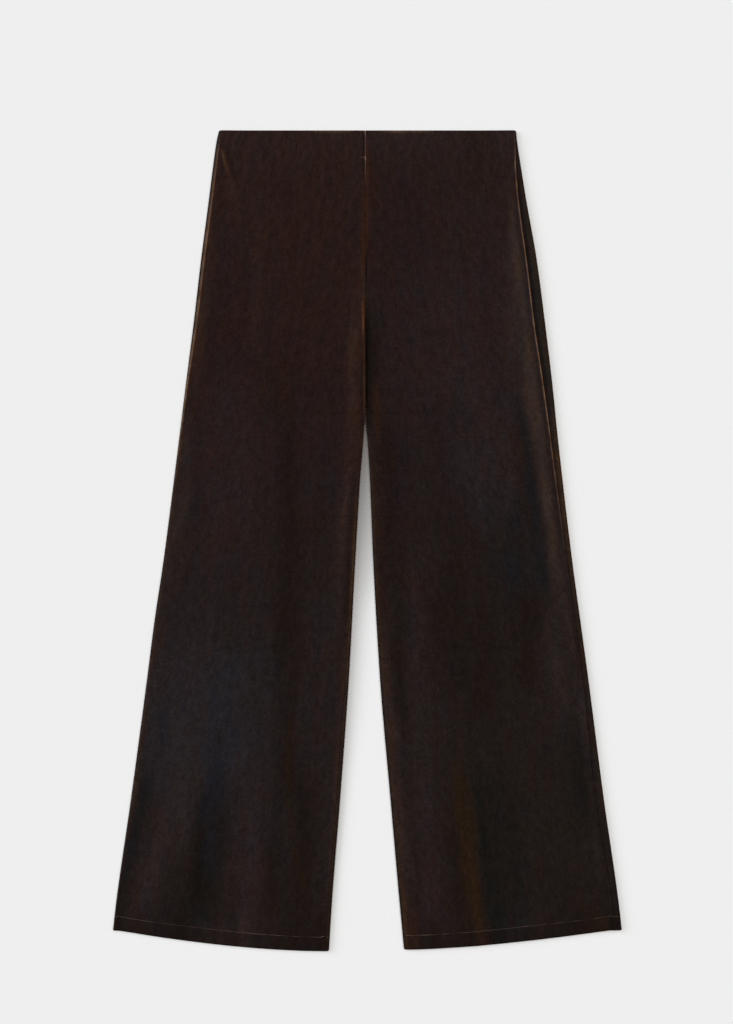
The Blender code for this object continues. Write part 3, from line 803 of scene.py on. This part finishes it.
velvet = {
    # size, stretch down the leg, detail, roughness; and the low and high end with their tints
    "grains": {
        "hue": ((0.017, 3.2, 2.0, 0.7), (0.27, (1.10, 0.97, 0.86)), (0.73, (0.90, 1.03, 1.14))),
        "brushMark": ((0.013, 5.0, 3.0, 0.8), (0.27, (0.82, 0.84, 0.86)), (0.73, (1.18, 1.16, 1.14))),
        "blot": ((0.0070, 1.8, 2.0, 0.8), (0.27, (0.76, 0.71, 0.70)), (0.73, (1.24, 1.29, 1.30))),
        "tuft": ((0.0028, 1.1, 1.0, 0.5), (0.27, (0.86, 0.825, 0.815)), (0.73, (1.14, 1.175, 1.185))),
        "lint": ((0.0026, 1.0, 0.0, 0.5), (0.72, (1.0, 1.0, 1.0)), (0.84, (1.32, 1.36, 1.40))),
    },
    "leastRough": 0.82,
    "relief": (0.35, 0.0003),  # strength and height
    "sheen": 0.30,
    "sheenless": (0.0012, 0.0040),  # the pile painted black for shadow has no sheen: tones between which it fades in
    "sockets": {"Sheen Roughness": 0.35, "Sheen Tint": (0.60, 0.38, 0.28, 1.0), "Specular IOR Level": 0.04},
}


def velvetMaterial():
    material, tree, shader = newMaterial("brown velvet")
    tone, glowHighlight = readAttribute(tree, "tone"), readAttribute(tree, "paintedShine")
    # the painted copper highlight along the seams, laid over the pile's tone
    colour = mix(tree, "MIX", glowHighlight["Fac"], tone["Color"], (*tones["copperHighlight"], 1.0))
    grains = {}
    for name, (grain, low, high) in velvet["grains"].items():
        grains[name] = cutNoise(tree, *grain)
        colour = mix(tree, "MULTIPLY", 1.0, colour, ramp(tree, grains[name], low, high))
    rough = {"Value": grains["brushMark"], "To Min": velvet["leastRough"]}
    darkest, full = velvet["sheenless"]
    sheen = {"Value": tone["Fac"], "From Min": darkest, "From Max": full, "To Max": velvet["sheen"]}
    links = {
        "Base Color": colour,
        "Roughness": addNode(tree, "ShaderNodeMapRange", rough)["Result"],
        "Sheen Weight": addNode(tree, "ShaderNodeMapRange", sheen)["Result"],
        "Normal": relief(tree, grains["tuft"], *velvet["relief"]),
    }
    setSockets(tree, shader, links | velvet["sockets"])
    return material


knit = {
    "wales": (0.0009, 5.0, 1.0, 0.5),  # size, stretch down the leg, detail, roughness
    "walesEnds": ((0.3, (0.020, 0.013, 0.010)), (0.7, (0.045, 0.028, 0.021))),
    "fade": (0.03, 1.0, 2.0, 0.5),
    "fadeEnds": ((0.3, (0.8, 0.8, 0.8)), (0.7, (1.2, 1.2, 1.2))),
    "fadeShare": 0.3,
    "relief": (0.5, 0.0003),
    "sockets": {"Roughness": 0.92, "Specular IOR Level": 0.2},
}


def knitMaterial():
    # the wrong side of the velvet: a fine matt knit
    material, tree, shader = newMaterial("velvet wrong side")
    wales = cutNoise(tree, *knit["wales"])
    fade = ramp(tree, cutNoise(tree, *knit["fade"]), *knit["fadeEnds"])
    colour = mix(tree, "MULTIPLY", knit["fadeShare"], ramp(tree, wales, *knit["walesEnds"]), fade)
    links = {"Base Color": colour, "Normal": relief(tree, wales, *knit["relief"])}
    setSockets(tree, shader, links | knit["sockets"])
    return material


yarn = {
    "fibres": 2600.0,
    "fibreEnds": ((0.3, (0.7, 0.68, 0.66)), (0.7, (1.25, 1.25, 1.25))),
    "relief": (0.4, 0.0001),
    "sockets": {"Roughness": 0.7, "Specular IOR Level": 0.04, "Sheen Weight": 0.02},
}


def threadMaterial():
    material, tree, shader = newMaterial("tan thread")
    fibres = fibreNoise(tree, yarn["fibres"])
    twist = ramp(tree, fibres, *yarn["fibreEnds"])
    colour = mix(tree, "MULTIPLY", 1.0, readAttribute(tree, "tone")["Color"], twist)
    links = {"Base Color": colour, "Normal": relief(tree, fibres, *yarn["relief"])}
    setSockets(tree, shader, links | yarn["sockets"])
    return material


velvetPile = velvetMaterial()
velvetGround = knitMaterial()
thread = threadMaterial()


def newNet(columns, rows):
    bm = bmesh.new()
    bmesh.ops.create_grid(bm, x_segments=len(columns) - 1, y_segments=len(rows) - 1, size=0.5)
    return bm


def netPlaces(bm, columns, rows):
    # which column and which row of a net each of its points is in
    net = np.array([vert.co[:2] for vert in bm.verts]) + 0.5
    return np.rint(net * (len(columns) - 1, len(rows) - 1)).astype(int).T


def addObject(name, data):
    made = bpy.data.objects.new(name, data)
    bpy.context.collection.objects.link(made)
    return made


def addMesh(name, bm):
    mesh = bpy.data.meshes.new(name)
    bm.to_mesh(mesh)
    bm.free()
    return addObject(name, mesh), mesh


def makePanel(leg, side):
    columns, pileRows, groundRows = netColumns(nets[side]), netRows(0.0), netRows(cloth["wall"])
    bm = newNet(columns, pileRows)
    pileCount = len(bm.verts)
    bmesh.ops.extrude_face_region(bm, geom=bm.faces)
    onGround = np.arange(len(bm.verts)) >= pileCount
    column, row = netPlaces(bm, columns, pileRows)
    rows = np.where(onGround[:, None], groundRows[row], pileRows[row])
    place = panelPoints(leg, side, columns[column], rows[:, 0], rows[:, 1])
    for vert, point in zip(bm.verts, place["points"]):
        vert.co = point
    bm.verts.index_update()
    for face in bm.faces:
        face.smooth = True
        face.material_index = int(all(vert.index >= pileCount for vert in face.verts))
    bmesh.ops.recalc_face_normals(bm, faces=bm.faces)
    if bm.calc_volume(signed=True) < 0.0:
        bmesh.ops.reverse_faces(bm, faces=bm.faces)
    panel, mesh = addMesh(side + "_" + leg + "_velvet", bm)
    corners = np.zeros(len(mesh.loops), int)
    mesh.loops.foreach_get("vertex_index", corners)
    cutPlace = np.stack((place["fromSide"], -rows[:, 0]), axis=-1)
    mesh.uv_layers.new(name="cut").data.foreach_set("uv", cutPlace[corners].ravel())
    toneData = mesh.attributes.new("tone", "FLOAT_COLOR", "POINT").data
    toneData.foreach_set("color", toneWithPaintedLight(leg, side, place).ravel())
    shineData = mesh.attributes.new("paintedShine", "FLOAT", "POINT").data
    shineData.foreach_set("value", paintedSeamShine(leg, side, place))
    mesh.materials.append(velvetPile)
    mesh.materials.append(velvetGround)
    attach(panel, "root")
    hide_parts(side + "_" + leg)
    return panel


panels = {(side, leg): makePanel(leg, side) for side in ("back", "front") for leg in ("right", "left")}
print("panels made:", sum(len(panel.data.polygons) for panel in panels.values()), "faces")


stitching = {
    "pitch": 0.0031,
    "length": 0.0026,
    "width": 0.00038,
    "height": 0.00030,
    "lift": 0.00006,  # the thread's middle above the pile
    "uneven": 0.12,
    "stray": 0.00012,  # how far each stitch strays
    "sway": 0.0007,  # how far a hem's row strays, and over what length
    "swayLength": 0.10,
    "strength": 0.95,  # of a hem thread's tone, its least, and its patches: seed, share and size
    "leastStrength": 0.25,
    "patches": ((23, 0.50, 0.0035), (29, 0.35, 0.014)),
}
# second points below the pile and along a row, which give the way out of the cloth and the row's direction
justBelow, justBeside = 0.0004, 0.001
threadTones = {
    "tan": (0.122, 0.078, 0.058),
    "cream": (0.42, 0.32, 0.22),
    "peach": (0.39, 0.245, 0.185),
    "ginger": (0.105, 0.050, 0.028),
}
# how pale the centre seam's thread shows
centrePales = table(
    "down share",
    (0, 2.1),
    (4, 1.6),
    (9, 0.8),
    (12, 0.55),
    (32, 0.5),
    (34, 2),
    (37, 2),
    (39, 0.7),
    (50, 0.6),
    (56, 0.4),
    (72, 0.1),
)
# where the hem's thread reads paler, or darker below zero: middle along x and width in mm, and share
paleHems = {
    "right": ((-58, 5, 0.7), (-150, 9, 0.36), (-215, 20, -0.1), (-300, 20, 0.2)),
    "left": (
        (48, 6, 0.6), (75, 12, 0.42), (112, 14, -0.16), (148, 12, 0.22),
        (204, 10, 0.25), (238, 12, -0.1), (290, 14, -0.12),
    ),
}
random = np.random.default_rng(41)


def sewRow(bm, places, normals, colourOf, pitch=stitching["pitch"]):
    # stitches of even pitch along a line on the cloth
    toneLayer = bm.verts.layers.float_color.get("tone") or bm.verts.layers.float_color.new("tone")
    steps = np.linalg.norm(np.diff(places, axis=0), axis=1)
    run = np.concatenate(([0.0], np.cumsum(steps)))

    def at(line, spot):
        return np.array([np.interp(spot, run, line[:, axis]) for axis in range(3)])

    for start in np.arange(pitch / 2, run[-1] - pitch / 2, pitch):
        middle, up = at(places, start), Vector(at(normals, start)).normalized()
        along = Vector(at(places, start + justBeside) - at(places, start - justBeside)).normalized()
        beside = up.cross(along).normalized()
        turn = Matrix((beside, along.cross(beside), along)).transposed().to_4x4()
        vary = 1.0 + random.uniform(-stitching["uneven"], stitching["uneven"], 3)
        stray = random.uniform(-stitching["stray"], stitching["stray"])
        size = Vector((stitching["width"], stitching["height"], stitching["length"])) * 0.5
        scale = Matrix.Diagonal((size.x * vary[0], size.y * vary[1], size.z * vary[2], 1.0))
        place = Matrix.Translation(Vector(middle) + up * stitching["lift"] + beside * stray) @ turn @ scale
        made = bmesh.ops.create_uvsphere(bm, u_segments=7, v_segments=6, radius=1.0, matrix=place)
        for vert in made["verts"]:
            vert[toneLayer] = (*colourOf(middle), 1.0)


def clothLine(leg, side, columns, rows):
    # a line on the pile, and the way out of the cloth along it
    zeros = np.zeros_like(columns)
    pile = panelPoints(leg, side, columns, rows, zeros)["points"]
    below = panelPoints(leg, side, columns, rows, zeros + justBelow)["points"]
    return pile, pile - below


def threadPiece(name, bm):
    piece, mesh = addMesh(name, bm)
    mesh.shade_smooth()
    mesh.materials.append(thread)
    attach(piece, "root")
    return piece


def hemColour(leg):
    # the thread sinks in and out of the pile
    def colourOf(place):
        x, strength = np.array([place[0]]), stitching["strength"]
        for seed, share, size in stitching["patches"]:
            strength += share * float(waves(x, x * 0.0, seed, size, 1.0)[0])
        colour = np.array(threadTones["tan"]) * max(stitching["leastStrength"], strength)
        for middle, width, share in paleHems[leg]:
            paler = share * float(bump(place[0] - middle * mm, width * mm))
            colour += (np.array(threadTones["cream"]) - colour) * paler
        return colour
    return colourOf


def hemStitches(leg, side):
    columns = np.linspace(-1.0, 2.0, 900)
    sway = stitching["sway"] * waves(columns, columns * 0.0, 17, stitching["swayLength"], 1.0)
    places, normals = clothLine(leg, side, columns, length - cloth["stitchUp"] + sway)
    bm = bmesh.new()
    sewRow(bm, places, normals, hemColour(leg))
    return threadPiece(side + "_" + leg + "_hem_stitches", bm)


hems = {(side, leg): hemStitches(leg, side) for side, leg in panels}


centreSewing = {
    "ends": {"front": 0.072, "back": 0.040},
    "pitch": 0.0022,
    "tackRows": (0.0012, 0.0022),  # below the casing's edge
    "tackColumn": 1.25,  # how far out the tack runs
    "tackPitch": 0.0016,
}


def centreColour(place):
    return np.array(threadTones["peach"]) * read(centrePales, "share", waistY - place[1])


def seamStitches(side, end):
    # the thread along the top of the centre seam, and a tack across the casing's edge
    bm = bmesh.new()
    rows = np.linspace(0.0, end, 160)
    columns = np.full_like(rows, 2.0)
    left, leftUp = clothLine("left", side, columns, rows)
    right, rightUp = clothLine("right", side, columns, rows)
    sewRow(bm, (left + right) / 2, leftUp + rightUp, centreColour, centreSewing["pitch"])
    columns = np.linspace(2.0, centreSewing["tackColumn"], 40)
    for row in centreSewing["tackRows"]:
        tack, tackUp = clothLine("right", side, columns, np.full_like(columns, cloth["casing"] + row))
        sewRow(bm, tack, tackUp, lambda place: threadTones["ginger"], centreSewing["tackPitch"])
    return threadPiece(side + "_centre_seam_stitches", bm)


centreThreads = {side: seamStitches(side, end) for side, end in centreSewing["ends"].items()}
print("threads sewn")


studio = {
    "floorSize": 60.0,
    "floorColour": (0.80, 0.80, 0.80),
    "fibres": 400.0,
    "fibreShade": 0.997,  # the darkest of the paper's fibres
    "behind": (0.863, 0.863, 0.863),
    "shadeTint": (0.985, 1.005, 1.015),
    "shadeAcross": (-0.19, 0.19, 240),  # where the shade's fine net runs, and its lines
    "shadeDown": (1.08, 0.33, 120),
    "ambient": 0.06,
    "key": {"from": (-0.78, 0.25, 0.574), "strength": 1.18, "spread": 40.0, "colour": (1.0, 1.007, 1.093)},
    "top": {"from": (0.04, 0.10, 1.0), "strength": 2.54, "spread": 50.0, "colour": (1.0, 0.998, 0.975)},
    "cameraHeight": 3.0,
    "viewHeight": 1.3112,  # height of the picture at the cloth
    "aim": (-0.0009, 0.0366),
    "sensor": 36.0,
}


# the floor's shade between the legs: its strength at the right leg's inner edge, and its width from there
gapShade = table(
    "down share width",
    (330, 0, 50),
    (360, 0.83, 50),
    (422, 0.73, 50),
    (473, 0.64, 45),
    (550, 0.49, 33),
    (627, 0.31, 20),
    (729, 0.21, 17),
    (857, 0.17, 9),
    (985, 0.12, 5),
    (1045, 0.04, 4),
    (1060, 0, 4),
)


def makeFloor():
    # a wide sheet of paper, netted finely where the shade between the legs falls
    edge = studio["floorSize"] / 2
    columns = np.concatenate(([-edge], np.linspace(*studio["shadeAcross"]), [edge]))
    rows = np.concatenate(([-edge], waistY - np.linspace(*studio["shadeDown"]), [edge]))
    bm = newNet(columns, rows)
    column, row = netPlaces(bm, columns, rows)
    x, y = columns[column], rows[row]
    for vert, *place in zip(bm.verts, x, y):
        vert.co = (*place, 0.0)
    floor, mesh = addMesh("studio_floor", bm)
    down = waistY - y
    beside = bump(x - read(inners, "rightEdge", down), read(gapShade, "width", down))
    share = read(gapShade, "share", down) * beside
    shade = np.stack([1.0 - tint * share for tint in studio["shadeTint"]] + [np.ones_like(share)], axis=-1)
    mesh.attributes.new("shade", "FLOAT_COLOR", "POINT").data.foreach_set("color", shade.ravel())
    material, tree, shader = newMaterial("pale paper")
    pale = studio["floorColour"]
    darker = [value * studio["fibreShade"] for value in pale]
    colour = ramp(tree, fibreNoise(tree, studio["fibres"]), (0.3, darker), (0.7, pale))
    colour = mix(tree, "MULTIPLY", 1.0, colour, readAttribute(tree, "shade")["Color"])
    setSockets(tree, shader, {"Base Color": colour, "Roughness": 1.0, "Specular IOR Level": 0.0})
    mesh.materials.append(material)


def addSun(name, lamp):
    light = bpy.data.lights.new(name, "SUN")
    light.energy = lamp["strength"]
    light.angle = math.radians(lamp["spread"])
    light.color = lamp["colour"]
    addObject(name, light).rotation_euler = Vector(lamp["from"]).to_track_quat("Z", "Y").to_euler()


def makeWorld():
    # the floor's own colour behind it, and a weak even light on the cloth
    world = bpy.data.worlds.new("studio")
    world.use_nodes = True
    tree = world.node_tree
    plain = tree.nodes["Background"]
    setSockets(tree, plain, {"Color": (1.0, 1.0, 1.0, 1.0), "Strength": studio["ambient"]})
    behind = addNode(tree, "ShaderNodeBackground", {"Color": (*studio["behind"], 1.0)})["Background"]
    fromCamera = addNode(tree, "ShaderNodeLightPath", {})["Is Camera Ray"]
    either = {0: fromCamera, 1: plain.outputs["Background"], 2: behind}
    light = addNode(tree, "ShaderNodeMixShader", either)["Shader"]
    setSockets(tree, tree.nodes["World Output"], {"Surface": light})
    bpy.context.scene.world = world


def addCamera():
    data = bpy.data.cameras.new("camera")
    data.sensor_width = studio["sensor"]
    data.lens = studio["sensor"] * (studio["cameraHeight"] - cloth["roll"]) / studio["viewHeight"]
    camera = addObject("camera", data)
    camera.location = (*studio["aim"], studio["cameraHeight"])
    bpy.context.scene.camera = camera


makeFloor()
addSun("key light", studio["key"])
addSun("top light", studio["top"])
makeWorld()
addCamera()
bpy.context.scene.view_settings.view_transform = "Standard"
print("studio ready")
